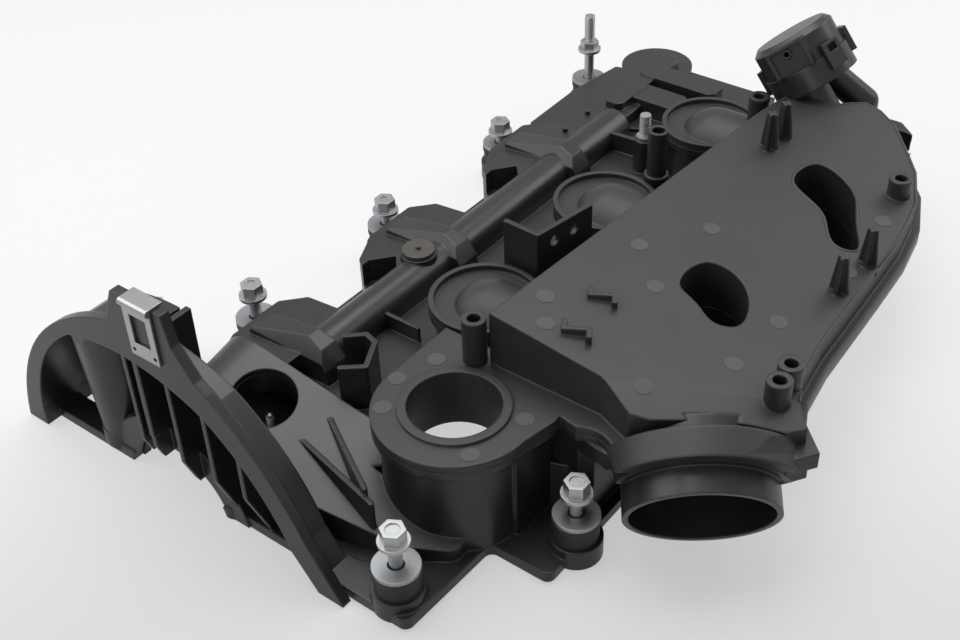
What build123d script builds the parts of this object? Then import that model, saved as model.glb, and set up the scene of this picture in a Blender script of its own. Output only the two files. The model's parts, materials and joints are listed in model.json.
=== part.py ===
"""Moulded engine valve cover with its intake chamber, crankcase vent valve and captive bolts.

Lengths are millimetres. X runs along the cylinder row, from the arched front flange to the far end.
Y runs across, from the intake side (low) to the outer bolt row (high). Z is up from the plane the
rubber gasket rests on. All places below are measured from the first bolt of the outer row, and every
piece is moved by FOOTPRINT_X and FOOTPRINT_Y when it is written, so that the part's origin is the
middle of its footprint.
"""
import os
from math import atan2, cos, degrees, radians, sin, sqrt

from build123d import *

# Overall frame
FOOTPRINT_X = 118.4
FOOTPRINT_Y = -114.5
WALL = 3.0
BASE_Z = 0.8
PITCH = 101.5
INNER_PITCH = 101.0

# Base flange and its seal
FLANGE_TOP = 6.0
FLANGE_W = 11.0
BASE_LEFT_X = -94.0
BASE_FAR_X = 335.0
BASE_OUTER_Y = -13.0
BASE_INNER_Y = -211.0
NOTCH_Y = -179.5
NOTCH_X = -41.0

# Captive bolts, M6, on flanged steel sleeves in rubber grommets
BOSS_R = 12.0
BOSS_H = 11.0
SLEEVE_TOP = 24.0
SLEEVE_FLANGE_R = 10.6
SLEEVE_FLANGE_T = 2.0
SLEEVE_R = 5.2
SLEEVE_BORE_R = 3.7
GROMMET_R = 10.2
GROMMET_FOOT_R = 8.4
GROMMET_FOOT_Z = 2.0
GROMMET_FIT = 0.15
BOLT_R = 3.0
BOLT_FLANGE_R = 7.1
BOLT_FLANGE_T = 1.8
BOLT_HEX = 10.0
BOLT_HEX_H = 6.4
BOLT_LENGTH = 30.0
STUD_TOP_L = 17.0

# Tall post beside the middle disc, with its screw hole
POST_TOP = 88.0
POST_HOLE_DEPTH = 20.0

# Front flange: arched band, lug for the spring clip, half round saddle
FRONT_X = -102.0
BAND_T = 5.0
SADDLE_X = -93.0
SADDLE_Y = -39.0
SADDLE_Z = -6.0
SADDLE_R = 32.0
SADDLE_BAND = 13.0
RECESS_BACK_X = -70.0
POCKET_BACK_X = -86.0
POCKET_SIDE_Y = -31.0
WEB_CUT_X = 13.0
WEB_CUT_Z = 34.0
WEB_T = 2.4
WEB_YS = (-32.0, -40.0, -58.0, -78.0, -96.0)

# Cam tunnel and its towers
TUNNEL_Y = -56.0
TUNNEL_Z = 34.0
TUNNEL_R = 11.0
TUNNEL_START_X = -14.0
TUNNEL_FAR_X = 246.0
TOWER_TOP = 39.0
TOWER_RISE = 3.0
TOWER_CORNER_R = 3.0
NOTCH_FLOOR_Z = 26.0
FOLD_RISE = 3.5
FOLD_BACK = 15.0

# Stepped end above the camshafts: each step's start, end and far side, and its height
TERRACE_FLOOR_Z = 33.0
TERRACE_Y = -44.0
TERRACES = ((246.0, 268.0, -62.0, 40.0), (266.0, 284.0, -84.0, 44.0), (290.0, 306.0, -96.0, 46.0),
            (252.0, 322.0, -56.0, 45.0))
RIM_X = 320.0
RIM_Y = -40.0
RIM_R = 22.0

# Seal in its groove
SEAL_W = 4.0
SEAL_TOP = 3.6
SEAL_FIT = 0.2

# Oil separator plate under the tunnel
BAFFLE_T = 2.0
BAFFLE_Z = 10.0
BAFFLE_SCREWS = ((-8.0, -86.0), (93.0, -86.0), (194.0, -86.0), (252.0, -86.0))

# Upper shell: seam plane, port plate, discs and chamber
SEAM_Z = 56.0
LIP_HALF = 4.0
LIP_OUT = 3.0
PORT_X = -26.0
PORT_Y = -151.0
PORT_R = 20.8
PORT_RING_R = 25.0
PORT_RING_H = 1.6
PLATE_R = 36.5
DISC_R = 27.0
DISC_DEPTH = 3.0
DISCS = ((43.0, -115.0), (144.0, -116.0), (243.0, -121.0))
CHAMBER_TOP = 88.0
CHAMBER_TOP_Y = -147.0
CHAMBER_SLOPE = 0.12
CHAMBER_FLOOR = 30.0

# Inlet tube
TUBE_X = 5.0
TUBE_Y = -256.0
TUBE_Z = 30.0
TUBE_R = 33.4
TUBE_WALL = 2.6
TUBE_HEADING = 36.0
TUBE_DROP = 26.0
TUBE_LENGTH = 34.0
TUBE_SUMP = 30.0
TUBE_STOP = 0.8
ARCH_START = 12.0
ARCH_DEPTH = 13.0
SKIRT_OVER = 4.0
LIP_OVER = 10.0

# Crankcase vent valve on its leaning axis
VALVE_X = 271.0
VALVE_Y = -160.0
VALVE_Z = 96.5
VALVE_LEAN = 39.0
CAP_R = 22.5
CAP_H = 17.5
CAP_WALL = 2.0
PANEL_W = 22.0
PANEL_TURN = 18.0
HOUSING_R = CAP_R + 1.0
HOUSING_H = 13.0
NECK_R = 9.0
NECK_SHIFT = -7.0
PIPE_SHIFT = 13.5
MEMBRANE_T = 1.2
VENT_PIPE_R = 8.0
VENT_PIPE_WALL = 1.6
SOCKET_X = 297.0
SOCKET_Y = -186.0
SOCKET_TOP = 56.0

# Blanking plug on the tunnel
PLUG_X = 67.0
PLUG_Y = -53.5
PLUG_SEAT_Z = 46.2

# Spring clip over the lug
CLIP_T = 1.2
CLIP_GAP = 0.2
CLIP_Y0 = -60.0
CLIP_Y1 = -43.0
CLIP_LOW = 91.0
LUG_TOP = 119.0

# Oil filler neck
FILLER_X = -54.2
FILLER_Y = -61.5
FILLER_Z = 35.5
FILLER_R = 15.6
FILLER_WALL = 3.0
FILLER_TOP = 1.0
FILLER_DEPTH = 15.0
FRONT_SLOPE = 0.235
SHELL_X = -30.0
SHELL_Z = 50.0
CREST_Y = -39.0
CREST_R = 24.0


def face(points):
    """A flat face inside a closed list of plan points."""
    return make_face(Polyline(*points, close=True))


def rounded(flat, radius):
    """The same face with all its corners rounded."""
    return fillet(flat.vertices(), radius)


def prism(flat, low, high):
    """A straight column on a plan face, from one height to another."""
    return Pos(0, 0, low) * extrude(flat, high - low)


def slab(x0, x1, y0, y1, z0, z1):
    """A plain block between two corners."""
    return Pos((x0 + x1) / 2, (y0 + y1) / 2, (z0 + z1) / 2) * Box(x1 - x0, y1 - y0, z1 - z0)


def post(x, y, radius, low, high):
    """An upright round post."""
    return Pos(x, y, (low + high) / 2) * Cylinder(radius, high - low)


def along_x(flat, x0, x1):
    """A prism along X on a section drawn as (y, z)."""
    return Plane((x0, 0, 0), x_dir=(0, 1, 0), z_dir=(1, 0, 0)) * extrude(flat, x1 - x0)


def below(x, y, z, slope_x, slope_y):
    """Everything under a sloping plane through a point, rising by the two slopes."""
    plane = Plane(origin=(x, y, z), x_dir=(1, 0, slope_x), z_dir=(-slope_x, -slope_y, 1))
    return plane * Pos(0, 0, -300) * Box(1400, 1400, 600)


# Bolt places: name, x, y and how far the bolt stands above its sleeve
BOLTS = [("bolt_outer_1", 0.0, 0.0, 12.1), ("bolt_outer_2", PITCH, -0.5, 7.5),
         ("bolt_outer_3", 2 * PITCH + 3.5, -1.0, 6.1), ("bolt_front_corner", -85.0, -164.9, 13.0)]
INNER_LIFTS = (10.7, 8.0, 8.0, 8.0)
for number, lift in enumerate(INNER_LIFTS):
    BOLTS.append(("bolt_inner_%d" % (number + 1), -18.0 + number * INNER_PITCH, -208.7 - number * 0.6, lift))
BOLTS.append(("bolt_arch", -36.0, 33.0, 8.0))
STUD_BOLT = ("stud_bolt_outer_4", 303.0, 0.0, 18.8)
SEATS = BOLTS + [STUD_BOLT]


def shrink(points, amount):
    """The same closed list of plan points with every side moved inward by an amount."""
    count = len(points)
    area = sum(points[i][0] * points[(i + 1) % count][1] - points[(i + 1) % count][0] * points[i][1]
               for i in range(count))
    turn = 1 if area > 0 else -1
    moved = []
    for i in range(count):
        before, here, after = points[i - 1], points[i], points[(i + 1) % count]
        ax, ay = here[0] - before[0], here[1] - before[1]
        bx, by = after[0] - here[0], after[1] - here[1]
        la, lb = sqrt(ax * ax + ay * ay), sqrt(bx * bx + by * by)
        nax, nay = -ay / la * turn, ax / la * turn
        nbx, nby = -by / lb * turn, bx / lb * turn
        scale = amount / (1 + nax * nbx + nay * nby)
        moved.append((here[0] + (nax + nbx) * scale, here[1] + (nay + nby) * scale))
    return moved


def base_outline(t=0.0):
    """Plan of the base flange."""
    points = [
        (BASE_LEFT_X, 60), (BASE_LEFT_X, -72), (-92, -78), (-92, -126), (BASE_LEFT_X - 2, -132),
        (BASE_LEFT_X - 2, -178), (NOTCH_X, NOTCH_Y), (NOTCH_X, BASE_INNER_Y),
        (BASE_FAR_X - 36, BASE_INNER_Y), (BASE_FAR_X, -186), (BASE_FAR_X, -26),
        (BASE_FAR_X - 14, BASE_OUTER_Y), (-18, BASE_OUTER_Y), (-44, 4), (-45, 60),
    ]
    return rounded(face(shrink(points, t)), 4.0)


def seal_line(t=0.0):
    """Plan of the seal's outer edge, passing inside every bolt."""
    points = [
        (-88, 54), (-88, -146), (-71, -153), (-71, -172), (-34, -172), (-34, -196), (296, -196),
        (329, -180), (329, -28), (318, -17), (-20, -17), (-50, 0), (-51, 54),
    ]
    return rounded(face(shrink(points, t)), 3.0)


def seal(fit=0.0):
    """The seal, or the groove it lies in when fit is the room around it."""
    ring = seal_line(-fit) - seal_line(SEAL_W + fit)
    body = prism(ring, -fit * 5, SEAL_TOP + fit)
    span = sqrt(SADDLE_R ** 2 - SADDLE_Z ** 2)
    body -= slab(-88 - 2, -88 + SEAL_W + 2, SADDLE_Y - span, SADDLE_Y + span, -5, 20)
    arch = saddle(SADDLE_R + 2.8 + fit, -88 - fit, -88 + SEAL_W + fit)
    arch -= saddle(SADDLE_R - BASE_Z, -88 - 1, -88 + SEAL_W + 1)
    arch &= slab(-100, -60, -120, 20, -fit * 5, 80)
    return body + arch


def seats(low, high, radius):
    """Round posts at every bolt."""
    body = post(SEATS[0][1], SEATS[0][2], radius, low, high)
    for _, x, y, _ in SEATS[1:]:
        body += post(x, y, radius, low, high)
    return body


def base_flange():
    """The flat flange that carries the gasket."""
    ring = base_outline() - seal_line(SEAL_W + 3)
    body = prism(ring, BASE_Z, FLANGE_TOP)
    for _, x, y, _ in (BOLTS[0], BOLTS[1], BOLTS[2], STUD_BOLT):
        body += slab(x - 10, x + 10, BASE_OUTER_Y - 6, y - 4, BASE_Z, FLANGE_TOP)
    return body


def cam_tunnel(t=0.0):
    """The long round ridge over the camshaft, on straight side walls."""
    walls = face([(TUNNEL_Y - TUNNEL_R + t, BASE_Z - t), (TUNNEL_Y + TUNNEL_R - t, BASE_Z - t),
                  (TUNNEL_Y + TUNNEL_R - t, TUNNEL_Z), (TUNNEL_Y - TUNNEL_R + t, TUNNEL_Z)])
    x0 = TUNNEL_START_X + t
    x1 = TUNNEL_FAR_X - t
    body = along_x(walls, x0, x1)
    body += Pos((x0 + x1) / 2, TUNNEL_Y, TUNNEL_Z) * Rot(0, 90, 0) * Cylinder(TUNNEL_R - t, x1 - x0)
    return body + Pos(x0, TUNNEL_Y, TUNNEL_Z) * Sphere(TUNNEL_R - t)


def tower(x, t=0.0):
    """One flat topped tower beside the tunnel, between two bolts, recessed at its low X end."""
    plan = [(x - 54, -32), (x - 50, -26), (x - 30, -16.5), (x + 2, -16), (x + 13, -26), (x + 13, TUNNEL_Y),
            (x - 54, TUNNEL_Y)]
    column = prism(rounded(face(shrink(plan, t)), TOWER_CORNER_R), BASE_Z - t, TOWER_TOP + TOWER_RISE)
    roof = [(0, -5), (0, TOWER_TOP - t), (-24, TOWER_TOP - t), (TUNNEL_Y, TOWER_TOP + TOWER_RISE - t),
            (TUNNEL_Y, -5)]
    column &= along_x(face(roof), x - 60, x + 20)
    notch = [(x - 60, -48 - t), (x - 60, -31 + t), (x - 48 + t, -31 + t), (x - 38 + t, -41), (x - 46, -48 - t)]
    return column - prism(face(notch), NOTCH_FLOOR_Z - t, TOWER_TOP + TOWER_RISE + 1)


def outer_skirt(t=0.0):
    """The low sloping roof from the tunnel down to the outer bolt row."""
    section = [(TUNNEL_Y, BASE_Z - t), (TUNNEL_Y, 30 - t), (-47, 26 - t), (-24, 9 - t * 0.6),
               (BASE_OUTER_Y - 2 - t, 6 - t * 0.6), (BASE_OUTER_Y - 2 - t, BASE_Z - t)]
    return along_x(face(section), -40 + t, BASE_FAR_X - 12 - t)


def far_block(t=0.0):
    """The flat stretch after the last tower, and the stepped end above the camshafts."""
    plan = [(214, TUNNEL_Y), (214, -18), (262, -17), (300, -22), (318, -26), (330, -40), (330, -118),
            (262, -118), (262, -90), (246, TUNNEL_Y)]
    body = prism(face(shrink(plan, t)), BASE_Z - t, TERRACE_FLOOR_Z - t)
    flat = [(214, TUNNEL_Y), (214, -18), (262, -17), (300, -22), (306, -44), (300, TUNNEL_Y)]
    body += prism(face(shrink(flat, t)), BASE_Z - t, TOWER_TOP - t)
    for x0, x1, y0, high in TERRACES:
        step = prism(rounded(face([(x0 + t, y0 + t), (x1 - t, y0 + t), (x1 - t, TERRACE_Y - t),
                                   (x0 + t, TERRACE_Y - t)]), 4.0 - t), BASE_Z - t, high - t)
        body += step
    return body + post(RIM_X, RIM_Y, RIM_R - t, BASE_Z - t, TOWER_TOP - 2 - t)


def front_shell(t=0.0):
    """The sloping shell round the oil filler: a long roof that turns over a rounded crest on the outer side."""
    plan = [(SHELL_X, -20), (-56, -22), (-80, -30), (-84, -96), (-70, -156), (-58, -174), (SHELL_X, -174)]
    flat = rounded(face(shrink(plan, t)), 7.0 - t)
    lean = sqrt(1 + FRONT_SLOPE ** 2)
    turn = atan2(FRONT_SLOPE, 1)
    centre_z = SHELL_Z - CREST_R
    radius = CREST_R - t
    start = (CREST_Y - radius * sin(turn), centre_z + radius * cos(turn))
    drop = 130 * FRONT_SLOPE
    low = -60
    roof = Polyline((start[0] - 130, low), (start[0] - 130, start[1] - drop), start)
    crest = ThreePointArc(start, (CREST_Y + radius * 0.35, centre_z + radius * 0.9367),
                          (CREST_Y + radius, centre_z))
    rest = Polyline((CREST_Y + radius, centre_z), (CREST_Y + radius, low), (start[0] - 130, low))
    section = make_face(roof + crest + rest)
    along = (1 / lean, 0, FRONT_SLOPE / lean)
    plane = Plane(origin=(SHELL_X + 5, 0, 5 * FRONT_SLOPE), x_dir=(0, 1, 0), z_dir=along)
    hood = plane * extrude(section, -90)
    return prism(flat, BASE_Z - t, 90) & hood


def front_profile(scale=0.0):
    """Section of the arched band with its lug, as (y, z)."""
    left = ThreePointArc((60, BASE_Z), (29, 66), (-27, 100))
    lug_a = Polyline((-27, 100), (-35, 119), (-65, 119), (-68, 104), (-78, 90), (-84, 86))
    right = ThreePointArc((-84, 86), (-112, 58), (-131, 27))
    foot = Line((-131, 27), (-148, BASE_Z))
    foot_b = Polyline((-148, BASE_Z), (-134, BASE_Z), (-121, 18))
    inner_r = ThreePointArc((-121, 18), (-104, 48), (-78, 72))
    inner_t = ThreePointArc((-78, 72), (-36, 83), (5, 77))
    inner_l = ThreePointArc((5, 77), (32, 50), (46, 12))
    foot_l = Polyline((46, 12), (46, BASE_Z), (60, BASE_Z))
    return make_face(left + lug_a + right + foot + foot_b + inner_r + inner_t + inner_l + foot_l)


def front_inner():
    """Section of the hollow inside the band, as (y, z)."""
    inner_r = ThreePointArc((-121, 18), (-104, 48), (-78, 72))
    inner_t = ThreePointArc((-78, 72), (-36, 83), (5, 77))
    inner_l = ThreePointArc((5, 77), (32, 50), (46, 12))
    foot = Polyline((46, 12), (46, BASE_Z), (-134, BASE_Z), (-121, 18))
    return make_face(inner_r + inner_t + inner_l + foot)


def saddle(radius, x0, x1):
    """A round bar along X on the saddle's axis."""
    return Pos((x0 + x1) / 2, SADDLE_Y, SADDLE_Z) * Rot(0, 90, 0) * Cylinder(radius, x1 - x0)


def front_box():
    """The arched front: band, the hollow behind it with its webs, column and saddle."""
    hollow = front_inner()
    skin = offset(hollow, WALL, kind=Kind.INTERSECTION)
    outer_side = slab(-200, 0, POCKET_SIDE_Y, 200, -10, 200)
    inner_side = slab(-200, 0, -200, POCKET_SIDE_Y, -10, 200)
    deep = along_x(skin, FRONT_X + BAND_T, RECESS_BACK_X + WALL) & outer_side
    deep += along_x(skin, FRONT_X + BAND_T, POCKET_BACK_X + WALL) & inner_side
    deep -= along_x(hollow, FRONT_X, RECESS_BACK_X) & slab(-200, 0, POCKET_SIDE_Y + WALL, 200, -10, 200)
    deep -= along_x(hollow, FRONT_X, POCKET_BACK_X) & inner_side
    body = deep + along_x(front_profile(), FRONT_X, FRONT_X + BAND_T)
    web_side = face([(FRONT_X + 0.5, 120), (FRONT_X + 0.5, WEB_CUT_Z), (FRONT_X + WEB_CUT_X, BASE_Z),
                     (POCKET_BACK_X + 1, BASE_Z), (POCKET_BACK_X + 1, 120)])
    for y in WEB_YS:
        web = Pos(0, y + WEB_T / 2, 0) * extrude(Plane.XZ * web_side, WEB_T)
        body += along_x(hollow, FRONT_X, RECESS_BACK_X) & web
    column = Pos(-84, 2, 42) * Rot(6, 0, 0) * Cone(10, 19, 84) + post(-84, 6, 11.5, 3, 13)
    body += column & along_x(hollow, FRONT_X, RECESS_BACK_X + 1)
    body += saddle(SADDLE_R + SADDLE_BAND, SADDLE_X, RECESS_BACK_X + WALL)
    return body & slab(FRONT_X, RECESS_BACK_X + WALL, -160, 80, BASE_Z, 140)


def chamber_lip(t=0.0):
    """Plan of the chamber's welded lip."""
    points = [
        (8, -140), (-4, -188), (-8, -208), (-9, -222), (-2, -229), (5, -237), (13, -248), (20, -262),
        (26, -281), (38, -289), (50, -277), (64, -271), (90, -267.5), (150, -264.5), (182, -262.5),
        (209, -258), (236, -247), (262, -227), (275, -209), (277, -194), (270, -185), (263, -181),
        (261, -168), (256, -140),
    ]
    return face(shrink(points, t))


def upper_outline(t=0.0):
    """Plan of the whole welded lip: port plate, discs and chamber in one."""
    flat = chamber_lip(t)
    flat += Pos(PORT_X, PORT_Y) * Circle(PLATE_R - t)
    side = PLATE_R - t
    flat += face([(PORT_X, PORT_Y + side), (14, PORT_Y + side), (14, -188 + t), (-8, -191 + t),
                  (PORT_X, PORT_Y - side)])
    for x, y in DISCS:
        flat += Pos(x, y) * Circle(DISC_R - t)
    return flat - Pos(BOLTS[4][1], BOLTS[4][2]) * Circle(14.5 + t)


def chamber_plan(t=0.0):
    """Plan of the chamber's upright walls at the lip."""
    points = [
        (6, -146), (6, -204), (-1, -222), (2, -230), (10, -240), (19, -251), (27, -265), (32, -276), (39, -282),
        (48, -273), (64, -267), (90, -263.5), (150, -260.5), (182, -258.5), (207, -254), (231, -243),
        (245, -232), (262, -218), (270, -206), (272, -197), (266, -191), (258, -185), (256, -174), (252, -162),
        (225, -158.5),
    ]
    return face(shrink(points, t))


def chamber(t=0.0):
    """The raised body of the chamber with its sloping top, or its inside."""
    body = prism(chamber_plan(t), SEAM_Z - t, CHAMBER_TOP + 6)
    body &= below(0, CHAMBER_TOP_Y, CHAMBER_TOP - t, 0, CHAMBER_SLOPE)
    # The corner above the inlet tube falls away across the bend line.
    body &= below(26, -239, 77 - t, 0.653 * 0.35, 0.757 * 0.35)
    return body


def bowl(t=0.0):
    """The lower half of the chamber, hanging under the seam."""
    plan = [(8, -140), (8, -206), (30, -248), (60, -255), (180, -250), (230, -236), (254, -216), (260, -190),
            (256, -140)]
    upper = prism(chamber_lip(LIP_OUT + t), 44, SEAM_Z - LIP_HALF + t)
    lower = prism(face(shrink(plan, t)), CHAMBER_FLOOR - WALL + t, 44 + t)
    return upper + lower


def case_box(t=0.0):
    """The plain low box under discs and chamber, open at the bottom."""
    plan = [(-36, TUNNEL_Y), (-36, -172), (-8, -176), (2, -206), (BASE_FAR_X - 44, -206),
            (BASE_FAR_X - 14, -190), (BASE_FAR_X - 12, TUNNEL_Y)]
    return prism(face(shrink(plan, t)), BASE_Z - t, CHAMBER_FLOOR - t)


def corner_wall(t=0.0):
    """The wall under the lip beside the first inner bolt, hollowed round that bolt."""
    flat = chamber_lip(LIP_OUT + t) + face([(-30 + t, -150), (-30 + t, -186 + t), (-4, -186 + t), (30, -150)])
    flat -= Pos(BOLTS[4][1], BOLTS[4][2]) * Circle(14.5 + LIP_OUT + t)
    flat &= Pos(0, -178) * Rectangle(60 - 2 * t, 56 - 2 * t)
    return prism(flat, BASE_Z - t, SEAM_Z - LIP_HALF + t)


def port_tower(t=0.0):
    """The round tower under the port plate."""
    side = PLATE_R - LIP_OUT - t
    flat = Pos(PORT_X, PORT_Y) * Circle(side)
    flat += face([(PORT_X, PORT_Y + side), (12, PORT_Y + side), (12, PORT_Y - side), (PORT_X, PORT_Y - side)])
    return prism(flat, BASE_Z - t, SEAM_Z - LIP_HALF + t)


def disc_towers(t=0.0):
    """The round duct towers under the three discs."""
    body = None
    for x, y in DISCS:
        one = post(x, y, DISC_R - LIP_OUT - t, BASE_Z - t, SEAM_Z)
        body = one if body is None else body + one
    return body


def tube_frame():
    """The frame at the middle of the tube's mouth, looking inward."""
    heading = radians(TUBE_HEADING)
    drop = radians(TUBE_DROP)
    inward = (cos(drop) * cos(heading), cos(drop) * sin(heading), sin(drop))
    return Plane(origin=(TUBE_X, TUBE_Y, TUBE_Z), x_dir=(sin(heading), -cos(heading), 0), z_dir=inward)


def tube(radius, start, length):
    """A round bar on the tube's axis."""
    return tube_frame() * Pos(0, 0, start + length / 2) * Cylinder(radius, length)


POCKETS = (
    ((78, -198), (90, -196), (100, -201), (101, -211), (94, -223), (80, -231), (70, -231), (66, -223),
     (72, -210)),
    ((182, -200), (194, -198), (204, -203), (202, -217), (191, -230), (170, -241), (152, -247), (150, -241),
     (166, -225), (173, -215)),
)


def pocket(index, grow, low, high):
    """The smooth sided well through the chamber down to an inner bolt."""
    rim = Spline(*shrink(POCKETS[index], -grow), periodic=True)
    return prism(make_face(rim), low, high)


def rod(start, end, radius):
    """A round bar between two points."""
    path = Vector(*end) - Vector(*start)
    return Plane(origin=start, z_dir=tuple(path)) * Pos(0, 0, path.length / 2) * Cylinder(radius, path.length)


def fence(points, thickness, low, high):
    """A thin upright wall along a plan line."""
    body = None
    for (x0, y0), (x1, y1) in zip(points[:-1], points[1:]):
        length = sqrt((x1 - x0) ** 2 + (y1 - y0) ** 2)
        turn = degrees(atan2(y1 - y0, x1 - x0))
        one = Pos((x0 + x1) / 2, (y0 + y1) / 2, (low + high) / 2) * Rot(0, 0, turn) * Box(length, thickness,
                                                                                          high - low)
        one += post(x1, y1, thickness / 2, low, high)
        body = one if body is None else body + one
    return body


def ducts():
    """Outsides of the three duct towers, the bowl and the passages between them."""
    body = disc_towers() + bowl()
    for x, y in DISCS:
        body += slab(x - 18, x + 18, -152, y - 10, CHAMBER_FLOOR, SEAM_Z - LIP_HALF)
    return body


def duct_hollows():
    """Insides of the duct towers, the bowl and the passages."""
    body = disc_towers(WALL) + bowl(WALL)
    for x, y in DISCS:
        body += slab(x - 15, x + 15, -154, y, CHAMBER_FLOOR + WALL, SEAM_Z - LIP_HALF - WALL)
    return body


def arch_bar(over, low):
    """The part of the lip that arches over the inlet tube."""
    return tube(TUBE_R + over, ARCH_START, ARCH_DEPTH) & slab(-60, 60, -320, -200, low, 100)


def tunnel_hoops():
    """Raised folds that cross each tower's roof and the tunnel, with a sloping flank on the low X side."""
    high = TOWER_TOP + FOLD_RISE
    section = [(-19, 30), (-23, high), (-38, high + 3), (TUNNEL_Y, high + 6), (-66, high + 3.5), (-72, 38), (-73, 30)]
    body = None
    for _, x, _, _ in BOLTS[:3]:
        ridge_x = x - FOLD_BACK
        one = along_x(face(section), ridge_x - 9, ridge_x + 5)
        one &= below(ridge_x - 2, TUNNEL_Y, high + 6, 1.0, 0) + slab(ridge_x - 2, ridge_x + 6, -100, 0, 20, 80)
        body = one if body is None else body + one
    return body


def top_details():
    """Channels, ribs and posts that stand on the lower moulding."""
    body = fence(((-13.5, -75), (-6, -83), (-8, -90), (-23.5, -98), (-31, -89)), 2.5, 20, 55)
    body += fence(((26.5, -66), (26.5, -86)), 2.0, 28, 38.5)
    body += fence(((74, -104), (73, -124), (108, -130)), 2.5, 28, 82)
    body += fence(((229, -65), (230, -86), (246, -90), (246, -100)), 2.5, 28, 41)
    body += post(177, -126, 6.4, 28, 62) + post(177, -126, 5.2, 56, POST_TOP)
    body += post(221, -92, 6.0, 28, 50)
    body += fence(((-58, -82), (-71, -140)), 2.5, 10, 33)
    body += fence(((-37, -80), (-68, -134)), 2.5, 10, 36)
    body += slab(FRONT_X, -69, -41.5, -38.5, 40, 91.5)
    body += post(PLUG_X, PLUG_Y, 9.5, TUNNEL_Z, PLUG_SEAT_Z)
    ear = face([(262, -223), (289, -223), (299, -215), (307, -206), (307, -190), (262, -190)])
    body += prism(rounded(ear, 3.0), SEAM_Z - LIP_HALF, SEAM_Z)
    return body + fence(((289, -221.5), (298, -214), (305.5, -205), (305.5, -191)), 2.5, 46, SEAM_Z)


def cover_body():
    """The lower moulding."""
    outer = cam_tunnel() + outer_skirt() + far_block() + front_shell() + case_box() + port_tower()
    outer += corner_wall()
    for index in range(3):
        outer += tower(BOLTS[index][1])
    outer += tunnel_hoops()
    outer += top_details()
    inner = cam_tunnel(WALL) + outer_skirt(WALL) + far_block(WALL) + front_shell(WALL) + case_box(WALL)
    inner += port_tower(WALL) + corner_wall(WALL)
    for index in range(3):
        inner += tower(BOLTS[index][1], WALL)
    inner += slab(-50, -20, -160, -30, -2, CHAMBER_FLOOR - WALL)
    inner += slab(-33, 262, TUNNEL_Y - 5, TUNNEL_Y + 5, -2, 22)
    body = outer - inner
    body += base_flange()
    body += ducts()
    body += front_box()
    rim = upper_outline() - upper_outline(LIP_OUT + WALL)
    body += prism(rim, SEAM_Z - LIP_HALF, SEAM_Z)
    body += tube(TUBE_R, 0, TUBE_LENGTH)
    body += tube(TUBE_R, TUBE_LENGTH - 4, TUBE_SUMP) & slab(0, 120, -300, -150, 0, CHAMBER_FLOOR)
    body += arch_bar(SKIRT_OVER, 44)
    body -= duct_hollows()
    for index, bolt in enumerate((BOLTS[5], BOLTS[6])):
        body += pocket(index, 2.5, CHAMBER_FLOOR - WALL, SEAM_Z)
        body += post(bolt[1], bolt[2], 16.5, BASE_Z, CHAMBER_FLOOR)
        body -= pocket(index, 0, CHAMBER_FLOOR, SEAM_Z + 1)
        body -= post(bolt[1], bolt[2], 14, FLANGE_TOP, SEAM_Z)
    body -= post(BOLTS[7][1], BOLTS[7][2], 13.5, FLANGE_TOP, 60)
    body += seats(BASE_Z, BOSS_H, BOSS_R)
    for x, y in BAFFLE_SCREWS:
        body += post(x, y, 4.5, BAFFLE_Z + BAFFLE_T, CHAMBER_FLOOR - 1)
        body -= post(x, y, 1.6, BAFFLE_Z, CHAMBER_FLOOR - WALL)
    body += post(SOCKET_X, SOCKET_Y, VENT_PIPE_R + 3, 20, SOCKET_TOP)
    body -= post(SOCKET_X, SOCKET_Y, VENT_PIPE_R + 0.1, 34, SOCKET_TOP + 1)
    body -= post(SOCKET_X, SOCKET_Y, VENT_PIPE_R - 3, 0, 60)
    body -= saddle(SADDLE_R, FRONT_X - 1, RECESS_BACK_X + WALL + 1)
    body -= tube(TUBE_R - TUBE_WALL, -1, TUBE_LENGTH + 1)
    sump_r = TUBE_R - TUBE_WALL - TUBE_STOP
    body -= tube(sump_r, TUBE_LENGTH - 4, TUBE_SUMP) & slab(0, 120, -300, -150, 0, SEAM_Z - 1)
    body -= post(PORT_X, PORT_Y, PORT_R + 3, 30, 100)
    leaning = Plane(origin=(FILLER_X, FILLER_Y, FILLER_Z), z_dir=(-FRONT_SLOPE, -FRONT_SLOPE, 1))
    neck_h = FILLER_TOP + FILLER_DEPTH
    body += leaning * Pos(0, 0, FILLER_TOP - neck_h / 2) * Cylinder(FILLER_R + FILLER_WALL, neck_h)
    body -= leaning * Pos(0, 0, FILLER_TOP) * Cylinder(FILLER_R, 2 * neck_h)
    for x in (83, 96):
        body -= rod((x, -118, 74), (x, -136, 74), 3.0)
    body -= post(PLUG_X, PLUG_Y, 3.2, TUNNEL_Z, 70)
    body -= post(221, -92, 2.2, 34, 60)
    body -= post(177, -126, 3.4, POST_TOP - POST_HOLE_DEPTH, 100)
    body -= seats(-1, BOSS_H + 1, GROMMET_FOOT_R + GROMMET_FIT)
    for x, y in DISCS:
        body -= post(x, y, DISC_R - LIP_OUT - 0.6, -1, 2.9) - post(x, y, DISC_R - LIP_OUT - WALL + 0.6, -1, 3)
    body -= seal(SEAL_FIT)
    return body & slab(-140, 400, -330, 80, -5, 200)


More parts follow.
